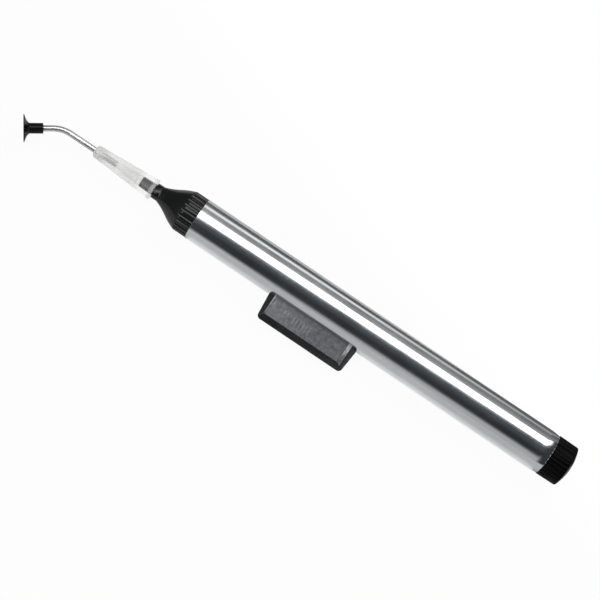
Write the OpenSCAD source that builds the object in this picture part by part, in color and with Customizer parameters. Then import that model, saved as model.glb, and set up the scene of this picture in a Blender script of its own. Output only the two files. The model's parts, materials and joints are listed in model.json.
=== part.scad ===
// Vacuum pick-up pen for small parts: a steel barrel with a side trigger, a black nose with a
// luer taper, a translucent needle hub, a bent needle and a rubber suction cup.
// Pressing the trigger drives a wedge-led piston forwards against its spring; letting go draws
// the piston back and pulls a vacuum at the cup.
// The pen lies on its barrel and on one edge of the trigger, nose towards -X, trigger towards -Y.

/* [Barrel] */
// Outside diameter of the barrel tube
barrel_od = 16; // [15.4:0.1:18]
// Wall of the barrel tube
barrel_wall = 0.8; // [0.6:0.05:1]
// Length of the barrel tube between nose and end cap
barrel_len = 150.6; // [110:0.2:180]

/* [Nose] */
// Length of the fluted grip ring
ring_len = 5; // [4:0.1:7]
// Length of the cone between ring and neck
cone_len = 10.6; // [8:0.1:14]
// Diameter of the neck
neck_d = 5.8; // [5.2:0.1:6.6]
// Length of the neck
neck_len = 2.4; // [1.5:0.1:5]
// Diameter of the luer tip at its small end
luer_tip_d = 3.95; // [3.6:0.05:4.1]
// Length of the luer tip
luer_len = 5.8; // [5:0.1:6.5]
// Diameter of the air bore
air_bore_d = 2; // [1.4:0.1:2.4]
// Length of the spigot inside the barrel
nose_spigot_len = 8; // [7:0.1:9]
// Depth of the spring seat in the spigot
spring_seat_depth = 2; // [1:0.1:2.4]

/* [Grip flutes] */
// Flutes around the nose ring
flute_count = 24; // [18:1:26]
// Flutes around the end cap
cap_flute_count = 32; // [24:1:34]
// Radius of a flute's section on the nose ring
flute_r = 0.9; // [0.7:0.05:1]
// Depth of a flute on the nose ring
flute_depth = 0.35; // [0.2:0.05:0.45]
// Radius of a flute's section on the end cap
cap_flute_r = 0.7; // [0.6:0.05:0.9]
// Depth of a flute on the end cap
cap_flute_depth = 0.18; // [0.1:0.02:0.3]

/* [End cap] */
// Length of the cap behind the barrel
cap_len = 9.2; // [6:0.1:12]
// How much the cap narrows on the radius towards its end
cap_draft = 0.1; // [0:0.05:0.5]
// Rounding of the cap's rear edge
cap_round = 0.6; // [0.4:0.1:1.2]
// How far the cap's end bulges
cap_dome = 1.4; // [0:0.1:1.8]
// Length of the cap's spigot inside the barrel
cap_spigot_len = 8; // [5:0.5:12]
// Wall of the cap
cap_wall = 1.6; // [1.2:0.1:2.4]

/* [Trigger] */
// Distance from the barrel's front end to the trigger
trigger_start = 36; // [36:0.2:60]
// Length of the trigger along the barrel
trigger_len = 37.6; // [36:0.2:46]
// Width of the trigger across the barrel
trigger_w = 6; // [5.6:0.1:6.6]
// How far the trigger stands proud of the barrel
trigger_proud = 9.2; // [8:0.1:10]
// How far each end leans in over its height
trigger_draft = 0.9; // [0.4:0.1:1.6]
// Rounding of the trigger's two outer corners
trigger_round = 1.6; // [1:0.1:2.4]
// Length of the flat bevels at the trigger's ends
end_bevel = 2.6; // [1.6:0.1:3.2]
// Height of the flat bevels along the trigger's outer edges
edge_bevel = 2.6; // [1.6:0.1:3]
// How far all these bevels cut into the trigger's width on each side
bevel_drop = 1.1; // [0.6:0.1:1.4]
// Side wall of the trigger button
trigger_wall = 1.6; // [1.4:0.1:1.8]
// Travel of the trigger
trigger_travel = 6; // [4:0.1:6.4]

/* [Piston and cam] */
// Free length of the air chamber behind the nose spigot
chamber_len = 11; // [10:0.1:12]
// Length of the piston head
piston_len = 7; // [5:0.1:8]
// Diameter of the cam slider's waist behind the piston
waist_d = 8; // [6:0.1:10]
// Length of that waist
waist_len = 4; // [2:0.1:4.5]
// Half width of the cam's flange under the barrel wall
flange_half_w = 4.2; // [3.8:0.05:4.6]
// Thickness of that flange
flange_t = 1; // [0.8:0.05:1.2]
// Thickness of the cam blade
blade_t = 4; // [3.4:0.1:4.4]
// Length of the cam's front tooth
tooth_len = 13.5; // [12:0.1:15]
// Land at the tip of the cam's rear tooth
tip_land = 1.5; // [1:0.1:2.5]
// Thickness of the slider's fin
fin_t = 2.4; // [1.8:0.1:2.4]
// Diameter of the piston screw's thread
screw_d = 3; // [2.5:0.1:3.5]
// Diameter of the piston screw's head
screw_head_d = 5.6; // [5:0.1:6.4]
// Height of the piston screw's head
screw_head_h = 2; // [1.4:0.1:2.2]
// Length of the piston screw below its head
screw_len = 13; // [11:0.5:16]

/* [Seals and spring] */
// Section diameter of the O-rings
seal_d = 1.5; // [1.2:0.1:1.8]
// Wire diameter of the return spring
wire_d = 0.8; // [0.6:0.05:0.9]
// Middle diameter of the return spring
coil_d = 10; // [8.4:0.1:10.4]
// Turns of the return spring
coil_turns = 6; // [4:1:6]

/* [Needle and cup] */
// Length of the needle hub
hub_len = 25.2; // [22:0.1:30]
// Hub diameter at its mouth
hub_rear_d = 7.7; // [7.4:0.1:9]
// Hub diameter at its front
hub_front_d = 4.7; // [4.6:0.1:6]
// Rounding of the hub's front edge
hub_round = 0.9; // [0.4:0.1:1]
// Rim height around the hub's mouth
hub_rim = 0.15; // [0.1:0.05:0.4]
// Depth that the needle reaches into the hub
needle_in_hub = 9; // [6:0.5:11]
// Outside diameter of the needle
needle_od = 2.2; // [1.9:0.05:2.4]
// Bore of the needle
needle_id = 1.5; // [1:0.05:1.6]
// Needle length from the hub to the corner of its bend
needle_free = 14; // [10:0.5:30]
// Radius of the bend
bend_r = 11; // [6:0.5:12]
// Angle of the bend
bend_angle = 35; // [10:1:36]
// How far the bent end is turned up from the trigger's side
needle_turn = 15; // [10:1:25]
// Distance from the corner of the bend to the cup's lip
cup_reach = 13.9; // [13:0.1:18]
// Diameter of the cup's lip
lip_d = 10; // [8:0.1:10]
// Width of the lip's flat rim
lip_land = 0.45; // [0.3:0.05:0.6]
// Length of the cup
cup_len = 7; // [6.4:0.1:8]
// Diameter of the cup's neck
cup_neck_d = 3.8; // [3.5:0.05:4.2]
// Length of the flare behind the lip
flare_len = 2.4; // [2:0.1:3]
// Depth of the hollow inside the lip
hollow_depth = 1.7; // [1.2:0.1:1.9]
// Depth that the needle reaches into the cup
needle_in_cup = 4.2; // [3:0.1:4.4]

/* [Fits] */
// Radial gap of a piece that slides or turns in another
slide_gap = 0.1; // [0.05:0.01:0.15]
// Radial gap of a piece that is fixed in another
seat_gap = 0.05; // [0.03:0.01:0.08]
// Gap between a seal or spring and what it bears on
touch_gap = 0.02; // [0.01:0.005:0.03]
// Gap between the trigger and its slot
slot_gap = 0.2; // [0.1:0.02:0.25]
// Gap between pieces that pass each other inside the barrel
pass_gap = 0.3; // [0.2:0.05:0.35]

/* [Hidden] */
$fn = 64;

// Cuts run past the faces they open by this much
past = 1;

// Barrel
barrel_r = barrel_od / 2;
barrel_ir = barrel_r - barrel_wall;
spigot_r = barrel_ir - seat_gap;
slider_r = barrel_ir - slide_gap;
// Nose and cap lie flush, a hair under the barrel, so that a sleeve passes over them
flush_r = barrel_r - seat_gap;

// Nose stations along X, all in front of the barrel at x = 0
cone_back_x = -ring_len;
cone_front_x = cone_back_x - cone_len;
shoulder_x = cone_front_x - neck_len;
luer_front_x = shoulder_x - luer_len;
neck_r = neck_d / 2;
air_r = air_bore_d / 2;
// A luer taper widens by 6 percent of its length
luer_taper = 0.06;
luer_tip_r = luer_tip_d / 2;
luer_root_r = luer_tip_r + luer_len * luer_taper / 2;
cone_steps = 16;
// How strongly the cone eases into ring and neck
cone_ease = 0.25;
seal_r = seal_d / 2;
groove_w = seal_d + 2 * slide_gap;
seal_centre_r = barrel_ir - touch_gap - seal_r;
groove_r = seal_centre_r - seal_r - touch_gap;
nose_seal_x = (nose_spigot_len - spring_seat_depth) / 2;

// Spring seat and spring
coil_r = coil_d / 2;
wire_r = wire_d / 2;
spring_seat_r = coil_r + wire_r + slide_gap;
spring_front_x = nose_spigot_len - spring_seat_depth + touch_gap;

// Piston stations
piston_x0 = nose_spigot_len + chamber_len;
piston_x1 = piston_x0 + piston_len;
spring_len = piston_x0 - touch_gap - spring_front_x;
screw_r = screw_d / 2;
screw_hole_r = screw_r + seat_gap;
slider_block_x = piston_x1 + waist_len;

// Trigger stations; p is the distance from the barrel's axis towards the trigger
trigger_x0 = trigger_start;
trigger_x1 = trigger_start + trigger_len;
trigger_reach = barrel_r + trigger_proud;
trigger_half_w = trigger_w / 2;
// The end walls are thicker, because the ends lean in and are bevelled
end_wall = 2.4;
roof_p = trigger_reach - trigger_wall;
bevel_p = trigger_reach - edge_bevel;
bevel_half_w = trigger_half_w - bevel_drop;
pocket_half_w = trigger_half_w - trigger_wall;
tenon_half_w = pocket_half_w - seat_gap;

// Cam: two teeth whose 45 degree ramps press on the slider; its flange stops under the barrel wall
flange_top = sqrt(barrel_ir * barrel_ir - flange_half_w * flange_half_w) - seat_gap;
flange_bottom = flange_top - flange_t;
// Room left under the cam's teeth when the trigger is fully pressed
tip_gap = 0.7;
tip_p = trigger_travel + tip_gap - barrel_ir;
// The front ramp starts this far under the barrel's outside
rim_land = 0.5;
ramp_front = trigger_x0 + barrel_r - rim_land;
ramp_rear = trigger_x1 - tip_land + tip_p;
// The slider's ramps lie behind the cam's by this much along X
ramp_gap = slide_gap * sqrt(2);
blade_half_t = blade_t / 2;
tooth_x1 = trigger_x0 + tooth_len;
fin_half_t = fin_t / 2;
fin_top = flange_top;
fin_x0 = tooth_x1 + trigger_travel + pass_gap;
fin_pocket_half_w = fin_half_t + slide_gap;
rail_top = flange_bottom - trigger_travel - pass_gap;
rail_half_gap = blade_half_t + pass_gap;
rail_x1 = trigger_x1 + past;

// End cap stations
cap_x0 = barrel_len;
cap_x1 = barrel_len + cap_len;

// Hub, needle and cup stations
hub_x0 = shoulder_x - pass_gap;
hub_x1 = hub_x0 - hub_len;
socket_depth = luer_len + pass_gap;
socket_end_x = hub_x0 - socket_depth;
needle_r = needle_od / 2;
needle_seat_r = needle_r + touch_gap;
needle_back_x = hub_x1 + needle_in_hub;
corner_x = hub_x1 - needle_free;
bend_tangent = bend_r * tan(bend_angle / 2);
needle_end = cup_reach - cup_len + needle_in_cup;
bend_wall_gain = 0.01;
lip_r = lip_d / 2;
cup_neck_r = cup_neck_d / 2;
cup_air_r = needle_id / 2;
// How sharply the flare and the hollow curl out towards the lip
flare_power = 2.2;
hollow_power = 1.6;
flare_steps = 12;
hollow_steps = 8;

// Rest: the roll that lays the first of the trigger's lower edges on the table beside the barrel
function roll_onto(p, half_w) = asin(barrel_r / norm([p, half_w])) - atan2(half_w, p);
roll = min(roll_onto(bevel_p, trigger_half_w), roll_onto(trigger_reach, bevel_half_w));
// Middle of the pen's box, which goes over the origin
pen_x0 = corner_x - cup_reach * cos(bend_angle) - lip_r * sin(bend_angle);
pen_y0 = -(trigger_reach * cos(roll) + bevel_half_w * sin(roll));
shift_x = -(pen_x0 + cap_x1) / 2;
shift_y = -(pen_y0 + barrel_r) / 2;

// Lays a piece that is drawn about the X axis down on the table
module at_rest() {
    translate([shift_x, shift_y, barrel_r]) rotate([roll, 0, 0]) children();
}

// Turns a section of radius and place along X about the X axis
module turned() {
    rotate([0, 90, 0]) rotate_extrude() children();
}

// A plate in the pen's plane of symmetry, its outline given as place along X and p
module side_plate(thickness) {
    mirror([0, 1, 0]) linear_extrude(height = thickness, center = true) children();
}

// A round bar along X
module bar_x(x0, x1, r) {
    translate([x0, 0, 0]) rotate([0, 90, 0]) cylinder(r = r, h = x1 - x0);
}

// A block that spans stations along X, p and the width across
module block(x0, x1, p0, p1, half_w) {
    translate([x0, -p1, -half_w]) cube([x1 - x0, p1 - p0, 2 * half_w]);
}

// Flutes that run along X around a piece of radius r
module flutes(count, x0, x1, r, section_r, depth) {
    for (i = [0 : count - 1])
        rotate([i * 360 / count, 0, 0])
            translate([0, 0, r + section_r - depth])
                bar_x(x0, x1, section_r);
}

// The trigger's outline seen from outside, grown by a gap for its slot
module trigger_plan(grow) {
    offset(delta = grow) polygon([
        [trigger_x0, -bevel_half_w],
        [trigger_x0 + end_bevel, -trigger_half_w],
        [trigger_x1 - end_bevel, -trigger_half_w],
        [trigger_x1, -bevel_half_w],
        [trigger_x1, bevel_half_w],
        [trigger_x1 - end_bevel, trigger_half_w],
        [trigger_x0 + end_bevel, trigger_half_w],
        [trigger_x0, bevel_half_w]
    ]);
}

// Lifts that outline into a prism from p0 to p1
module trigger_prism(p0, p1, grow) {
    translate([0, -p0, 0])
        rotate([90, 0, 0])
            linear_extrude(height = p1 - p0) trigger_plan(grow);
}

module barrel_tube() {
    color("silver") at_rest() difference() {
        bar_x(0, barrel_len, barrel_r);
        bar_x(-past, barrel_len + past, barrel_ir);
        trigger_prism(0, barrel_r + past, slot_gap);
    }
}

// Radius of the cone, eased at both ends; u runs from the ring to the neck
function cone_r(u) =
    flush_r - (flush_r - neck_r) * (u - cone_ease * sin(360 * u) / (2 * PI));

module nose_cone() {
    color("#1c1c1e") at_rest() difference() {
        turned() polygon(concat(
            [
                [air_r, luer_front_x],
                [luer_tip_r, luer_front_x],
                [luer_root_r, shoulder_x],
                [neck_r, shoulder_x],
                [neck_r, cone_front_x]
            ],
            [for (i = [cone_steps - 1 : -1 : 0])
                [cone_r(i / cone_steps), cone_back_x - cone_len * i / cone_steps]],
            [
                [flush_r, 0],
                [spigot_r, 0],
                [spigot_r, nose_seal_x - groove_w / 2],
                [groove_r, nose_seal_x - groove_w / 2],
                [groove_r, nose_seal_x + groove_w / 2],
                [spigot_r, nose_seal_x + groove_w / 2],
                [spigot_r, nose_spigot_len],
                [spring_seat_r, nose_spigot_len],
                [spring_seat_r, nose_spigot_len - spring_seat_depth],
                [air_r, nose_spigot_len - spring_seat_depth]
            ]
        ));
        flutes(flute_count, cone_front_x, 0, flush_r, flute_r, flute_depth);
    }
}

module o_ring(x) {
    turned() translate([seal_centre_r, x]) circle(r = seal_r);
}

module nose_seal() {
    color("#101010") at_rest() o_ring(nose_seal_x);
}

module end_cap() {
    end_r = flush_r - cap_draft;
    inner_r = spigot_r - cap_wall;
    face_r = end_r - cap_round;
    round_steps = 6;
    dome_steps = 8;
    color("#1c1c1e") at_rest() difference() {
        turned() polygon(concat(
            [
                [0, cap_x0],
                [inner_r, cap_x0 - cap_spigot_len],
                [spigot_r, cap_x0 - cap_spigot_len],
                [spigot_r, cap_x0],
                [flush_r, cap_x0]
            ],
            [for (i = [0 : round_steps])
                [
                    face_r + cap_round * cos(90 * i / round_steps),
                    cap_x1 - cap_dome - cap_round * (1 - sin(90 * i / round_steps))
                ]],
            [for (i = [1 : dome_steps])
                let (u = 1 - i / dome_steps)
                [face_r * u, cap_x1 - cap_dome * u * u]]
        ));
        bar_x(cap_x0 - cap_spigot_len - past, cap_x1 - cap_wall - cap_round - cap_dome, inner_r);
        flutes(cap_flute_count, cap_x0 - past, cap_x1 + past, end_r, cap_flute_r, cap_flute_depth);
    }
}

// The trigger's outline seen from the side: ends that lean in a little and two round corners
module trigger_side() {
    round_steps = 6;
    round_p = trigger_reach - trigger_round;
    round_x0 = trigger_x0 + trigger_draft + trigger_round;
    round_x1 = trigger_x1 - trigger_draft - trigger_round;
    polygon(concat(
        [[trigger_x0, flange_top]],
        [for (i = [0 : round_steps])
            let (around = 180 - 90 * i / round_steps)
            [round_x0 + trigger_round * cos(around), round_p + trigger_round * sin(around)]],
        [for (i = [0 : round_steps])
            let (around = 90 - 90 * i / round_steps)
            [round_x1 + trigger_round * cos(around), round_p + trigger_round * sin(around)]],
        [[trigger_x1, flange_top]]
    ));
}

// The trigger's section across the barrel, with its bevelled outer edges, run along X
module trigger_section() {
    translate([trigger_x0 - past, 0, 0])
        rotate([90, 0, 90])
            linear_extrude(height = trigger_len + 2 * past) polygon([
                [0, -trigger_half_w],
                [-bevel_p, -trigger_half_w],
                [-trigger_reach, -bevel_half_w],
                [-trigger_reach, bevel_half_w],
                [-bevel_p, trigger_half_w],
                [0, trigger_half_w]
            ]);
}

// The button is a hollow moulding with flat bevels all round its two sides
module trigger_button() {
    color("#1a1a1c") at_rest() difference() {
        intersection() {
            side_plate(trigger_w + 2 * past) trigger_side();
            trigger_prism(flange_top + touch_gap, trigger_reach + past, 0);
            trigger_section();
        }
        block(trigger_x0 + end_wall, trigger_x1 - end_wall, 0, roof_p, pocket_half_w);
        side_plate(trigger_w + 2 * past) polygon([
            [trigger_x0 - past, 0],
            [ramp_front, 0],
            [trigger_x0 - past, ramp_front - trigger_x0 + past]
        ]);
    }
}

// The cam sits under the barrel wall; its tenon carries the button, its teeth press the slider
module trigger_cam() {
    flange_x0 = ramp_front - flange_bottom;
    flange_x1 = trigger_x1 - end_wall;
    tenon_x0 = trigger_x0 + end_wall + seat_gap;
    tenon_x1 = trigger_x1 - end_wall - seat_gap;
    color("#e8e6df") at_rest() difference() {
        union() {
            block(flange_x0, flange_x1, flange_bottom, flange_top, flange_half_w);
            block(tenon_x0, tenon_x1, flange_bottom, roof_p - touch_gap, tenon_half_w);
            block(flange_x0, trigger_x1, tip_p, flange_top, blade_half_t);
        }
        // In front of the front ramp
        side_plate(barrel_od) polygon([
            [trigger_x0 - past, tip_p - past],
            [ramp_front - tip_p + past, tip_p - past],
            [trigger_x0 - past, ramp_front - trigger_x0 + past]
        ]);
        // Between the teeth the fin of the slider runs up
        side_plate(2 * fin_pocket_half_w) polygon([
            [tooth_x1, tip_p - past],
            [ramp_rear - tip_p + past, tip_p - past],
            [ramp_rear - fin_top - trigger_travel - pass_gap, fin_top + trigger_travel + pass_gap],
            [tooth_x1, fin_top + trigger_travel + pass_gap]
        ]);
        side_plate(blade_t + 2 * past) polygon([
            [tooth_x1, tip_p - past],
            [ramp_rear - tip_p + past, tip_p - past],
            [ramp_rear - flange_bottom, flange_bottom],
            [tooth_x1, flange_bottom]
        ]);
    }
}

// The slider fills the bore in front of the trigger and carries two rails and a fin under it
module cam_slider() {
    ramp_f = ramp_front - ramp_gap;
    ramp_r = ramp_rear - ramp_gap;
    fin_bottom = -slider_r;
    color("#d8d4c8") at_rest() difference() {
        union() {
            bar_x(piston_x1, slider_block_x + past, waist_d / 2);
            intersection() {
                bar_x(slider_block_x, rail_x1, slider_r);
                union() {
                    side_plate(barrel_od) polygon([
                        [slider_block_x - past, -barrel_r],
                        [ramp_f + barrel_r, -barrel_r],
                        [ramp_f - barrel_r, barrel_r],
                        [slider_block_x - past, barrel_r]
                    ]);
                    difference() {
                        block(slider_block_x, rail_x1, -barrel_r, rail_top, barrel_r);
                        block(slider_block_x - past, rail_x1 + past, -barrel_r - past, rail_top + past,
                            rail_half_gap);
                    }
                    side_plate(2 * rail_half_gap) polygon([
                        [fin_x0, fin_bottom],
                        [ramp_r - fin_bottom, fin_bottom],
                        [ramp_r - rail_top, rail_top],
                        [fin_x0, rail_top]
                    ]);
                    side_plate(fin_t) polygon([
                        [fin_x0, fin_bottom],
                        [ramp_r - fin_bottom, fin_bottom],
                        [ramp_r - fin_top, fin_top],
                        [ramp_r - fin_top - fin_t, fin_top],
                        [fin_x0, rail_top]
                    ]);
                }
            }
        }
        bar_x(piston_x1 - past, piston_x0 + screw_len + pass_gap, screw_hole_r);
    }
}

module piston_head() {
    piston_seal_x = (piston_x0 + piston_x1) / 2;
    color("#d8d4c8") at_rest() turned() polygon([
        [screw_hole_r, piston_x0],
        [slider_r, piston_x0],
        [slider_r, piston_seal_x - groove_w / 2],
        [groove_r, piston_seal_x - groove_w / 2],
        [groove_r, piston_seal_x + groove_w / 2],
        [slider_r, piston_seal_x + groove_w / 2],
        [slider_r, piston_x1],
        [screw_hole_r, piston_x1]
    ]);
}

module piston_seal() {
    color("#101010") at_rest() o_ring((piston_x0 + piston_x1) / 2);
}

module piston_screw() {
    driver_af = 2.5;
    driver_depth = screw_head_h / 2;
    head_x0 = piston_x0 - screw_head_h;
    color("silver") at_rest() difference() {
        union() {
            bar_x(head_x0, piston_x0, screw_head_d / 2);
            bar_x(head_x0 + driver_depth, piston_x0 + screw_len, screw_r);
        }
        translate([head_x0 - past, 0, 0]) rotate([0, 90, 0])
            cylinder(d = driver_af / cos(30), h = driver_depth + past, $fn = 6);
    }
}

// A spring with one closed turn at each end; t runs from 0 to 1 along the wire
spring_pitch_steps = 20;
spring_sides = 8;
closed_pitch = wire_d + 2 * touch_gap;
function spring_rise(turn) =
    let (open_turns = coil_turns - 2)
    let (open_pitch = (spring_len - wire_d - 2 * closed_pitch) / open_turns)
    turn < 1 ? turn * closed_pitch
    : turn > coil_turns - 1 ? spring_len - wire_d - (coil_turns - turn) * closed_pitch
    : closed_pitch + (turn - 1) * open_pitch;

module return_spring() {
    rings = coil_turns * spring_pitch_steps;
    points = [for (i = [0 : rings], k = [0 : spring_sides - 1])
        let (turn = i / spring_pitch_steps)
        let (around = 360 * k / spring_sides)
        let (r = coil_r + wire_r * cos(around))
        [
            spring_front_x + wire_r + spring_rise(turn) + wire_r * sin(around),
            r * cos(360 * turn),
            r * sin(360 * turn)
        ]];
    sides = [for (i = [0 : rings - 1], k = [0 : spring_sides - 1])
        let (next = (k + 1) % spring_sides)
        [
            i * spring_sides + k,
            i * spring_sides + next,
            (i + 1) * spring_sides + next,
            (i + 1) * spring_sides + k
        ]];
    first = [for (k = [spring_sides - 1 : -1 : 0]) k];
    last = [for (k = [0 : spring_sides - 1]) rings * spring_sides + k];
    color("gainsboro") at_rest() polyhedron(points, concat([first], sides, [last]));
}

module needle_hub() {
    rear_r = hub_rear_d / 2;
    front_r = hub_front_d / 2;
    rim_len = 1.2;
    rim_x1 = hub_x0 - rim_len;
    round_steps = 5;
    // The luer socket keeps the tip's taper
    mouth_r = luer_root_r + seat_gap;
    socket_end_r = mouth_r - socket_depth * luer_taper / 2;
    color("#f2f2f0") at_rest() turned() polygon(concat(
        [
            [mouth_r, hub_x0],
            [rear_r + hub_rim, hub_x0],
            [rear_r + hub_rim, rim_x1],
            [rear_r, rim_x1]
        ],
        [for (i = [0 : round_steps])
            [
                front_r - hub_round * (1 - cos(90 * i / round_steps)),
                hub_x1 + hub_round * (1 - sin(90 * i / round_steps))
            ]],
        [
            [needle_seat_r, hub_x1],
            [needle_seat_r, needle_back_x + touch_gap],
            [socket_end_r, socket_end_x]
        ]
    ));
}

// The needle's line as a bar of radius r: straight, a true bend, and straight into the cup.
// The bend's wall is a hair thicker, and the straight runs reach into it.
module needle_line(r, bend_gain, extra) {
    bend_x = corner_x + bend_tangent;
    reach = 0.2;
    bar_x(bend_x - reach, needle_back_x + extra, r);
    translate([bend_x, -bend_r, 0]) {
        rotate([0, 0, 90])
            rotate_extrude(angle = bend_angle) translate([bend_r, 0]) circle(r = r + bend_gain);
        rotate([0, 0, 90 + bend_angle])
            translate([bend_r, -reach, 0])
                rotate([-90, 0, 0]) cylinder(r = r, h = needle_end - bend_tangent + reach + extra);
    }
}

// Turns the bent end about the pen's axis
module turned_up() {
    rotate([-needle_turn, 0, 0]) children();
}

module needle_tube() {
    color("lightgray") at_rest() turned_up() difference() {
        needle_line(needle_r, bend_wall_gain, 0);
        needle_line(needle_id / 2, -bend_wall_gain, past);
    }
}

// Outer flare and inner hollow of the cup; u runs from the lip to the neck
function flare_r(u) = cup_neck_r + (lip_r - cup_neck_r) * pow(1 - u, flare_power);
function hollow_r(u) = cup_air_r + (lip_r - lip_land - cup_air_r) * pow(1 - u, hollow_power);

module suction_cup() {
    lip_edge = 0.3;
    neck_round = 0.3;
    bottom = cup_len - needle_in_cup;
    color("#141414") at_rest() turned_up()
        translate([corner_x, 0, 0])
            rotate([0, 0, bend_angle])
                translate([-cup_reach, 0, 0])
                    turned() polygon(concat(
                        [[lip_r - lip_land, 0], [lip_r, 0]],
                        [for (i = [0 : flare_steps])
                            [
                                flare_r(i / flare_steps),
                                lip_edge + (flare_len - lip_edge) * i / flare_steps
                            ]],
                        [
                            [cup_neck_r, cup_len - neck_round],
                            [cup_neck_r - neck_round, cup_len],
                            [needle_seat_r, cup_len],
                            [needle_seat_r, bottom],
                            [cup_air_r, bottom]
                        ],
                        [for (i = [hollow_steps : -1 : 1])
                            [hollow_r(i / hollow_steps), hollow_depth * i / hollow_steps]]
                    ));
}

barrel_tube();
nose_cone();
nose_seal();
end_cap();
trigger_button();
trigger_cam();
cam_slider();
piston_head();
piston_seal();
piston_screw();
return_spring();
needle_hub();
needle_tube();
suction_cup();
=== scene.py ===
# A vacuum pick-up pen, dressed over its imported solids: a polished steel barrel with a side trigger,
# a black nose with a luer tip, a milky needle hub, a bent steel needle and a rubber suction cup.
# The pen is modelled about its own axis, nose towards -X and trigger towards -Y, and then laid down.
import json
import math

import bmesh
import bpy
from mathutils import Matrix, Vector


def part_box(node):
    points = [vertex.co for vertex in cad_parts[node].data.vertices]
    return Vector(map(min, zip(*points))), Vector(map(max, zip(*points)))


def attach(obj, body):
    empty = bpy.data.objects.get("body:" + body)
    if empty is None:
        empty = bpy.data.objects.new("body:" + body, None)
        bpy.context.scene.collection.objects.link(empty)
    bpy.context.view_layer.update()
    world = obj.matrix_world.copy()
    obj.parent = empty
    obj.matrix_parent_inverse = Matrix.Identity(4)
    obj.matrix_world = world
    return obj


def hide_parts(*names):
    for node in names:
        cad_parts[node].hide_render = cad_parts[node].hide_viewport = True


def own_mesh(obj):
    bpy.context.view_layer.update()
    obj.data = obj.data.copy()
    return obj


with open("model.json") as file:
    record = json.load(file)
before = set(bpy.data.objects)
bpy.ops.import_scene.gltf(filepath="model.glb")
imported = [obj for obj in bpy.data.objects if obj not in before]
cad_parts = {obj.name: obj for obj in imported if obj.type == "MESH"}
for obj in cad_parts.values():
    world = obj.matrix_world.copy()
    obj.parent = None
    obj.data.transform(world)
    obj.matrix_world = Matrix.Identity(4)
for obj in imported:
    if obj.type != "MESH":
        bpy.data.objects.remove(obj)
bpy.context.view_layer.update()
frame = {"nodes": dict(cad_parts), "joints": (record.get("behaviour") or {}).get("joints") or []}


# Barrel tube
# A drawn stainless steel tube, polished along its length, with a slot milled through one side for
# the trigger. Its tail edge is rolled in a little where it meets the end cap.
mm = 0.001
weld = 0.001 * mm
smooth_angle = 30
ease_segments = 2
turn_steps = 240
cut_overrun = 1 * mm
barrel_low, barrel_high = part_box("barrel_tube")
barrel_length = barrel_high.x - barrel_low.x
barrel_radius = (barrel_high.z - barrel_low.z) / 2
barrel_wall = 0.8 * mm
barrel_bore = barrel_radius - barrel_wall
front_edge = 0.12 * mm
tail_roll_length = 3.5 * mm
tail_roll_depth = 0.3 * mm
tail_roll_steps = 12
tail_edge = 0.3 * mm
tail_edge_steps = 5
trigger_start = 36 * mm
trigger_end = 73.6 * mm
half_width = 3 * mm
end_bevel = 2.6 * mm
bevel_drop = 1.1 * mm
slot_gap = 0.2 * mm

press = next(joint for joint in frame["joints"] if joint["name"] == "trigger_press")
pen_roll = math.atan2(press["axis"][2], press["axis"][1])
barrel_middle = (barrel_low + barrel_high) / 2
pen_lay = Matrix.Translation((barrel_low.x, barrel_middle.y, barrel_middle.z))
pen_lay = pen_lay @ Matrix.Rotation(pen_roll, 4, "X")


def choose(piece):
    """Makes a piece the only one selected, and the active one."""
    bpy.ops.object.select_all(action="DESELECT")
    piece.select_set(True)
    bpy.context.view_layer.objects.active = piece


def draw_outline(name, points):
    """Draws a line through points, corner by corner, and leaves it selected in edit mode."""
    bpy.ops.object.select_all(action="DESELECT")
    bpy.ops.mesh.primitive_plane_add(size=mm)
    piece = bpy.context.object
    piece.name = name
    corners = [Vector(point) for point in points]
    bpy.ops.object.mode_set(mode="EDIT")
    bpy.ops.mesh.select_mode(type="VERT")
    bpy.ops.mesh.merge(type="CENTER")
    bpy.ops.transform.translate(value=corners[0])
    for corner, following in zip(corners, corners[1:]):
        bpy.ops.mesh.extrude_vertices_move(TRANSFORM_OT_translate={"value": following - corner})
    bpy.ops.mesh.select_all(action="SELECT")
    bpy.ops.mesh.remove_doubles(threshold=weld)
    return piece


def raise_outline(name, points, rise):
    """Fills a closed outline and raises it into a solid, which stays in edit mode."""
    piece = draw_outline(name, [*points, points[0]])
    bpy.ops.mesh.edge_face_add()
    bpy.ops.mesh.extrude_region_move(TRANSFORM_OT_translate={"value": rise})
    bpy.ops.mesh.select_all(action="SELECT")
    bpy.ops.mesh.normals_make_consistent(inside=False)
    return piece


def spin_outline(name, outline, steps=turn_steps):
    """Draws a section of (along the axis, out from it) points and spins it about the X axis."""
    piece = draw_outline(name, [(along, 0, out) for along, out in outline])
    bpy.ops.mesh.spin(steps=steps, angle=2 * math.pi, center=(0, 0, 0), axis=(1, 0, 0))
    bpy.ops.mesh.select_all(action="SELECT")
    bpy.ops.mesh.remove_doubles(threshold=weld)
    bpy.ops.mesh.normals_make_consistent(inside=False)
    bpy.ops.object.mode_set(mode="OBJECT")
    return piece


def quarter(along, out, length, height, steps):
    """Points of a quarter round that leaves (along, out) along the axis and ends facing out."""
    angles = [math.pi / 2 * step / steps for step in range(steps + 1)]
    return [(along + length * math.sin(a), out - height * (1 - math.cos(a))) for a in angles]


def pick(piece, kind, wanted):
    """In edit mode, selects the edges or faces of a piece that pass a test."""
    bpy.ops.mesh.select_mode(type=kind)
    bpy.ops.mesh.select_all(action="DESELECT")
    mesh = bmesh.from_edit_mesh(piece.data)
    for element in mesh.edges if kind == "EDGE" else mesh.faces:
        element.select_set(wanted(element))
    bmesh.update_edit_mesh(piece.data)


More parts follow.
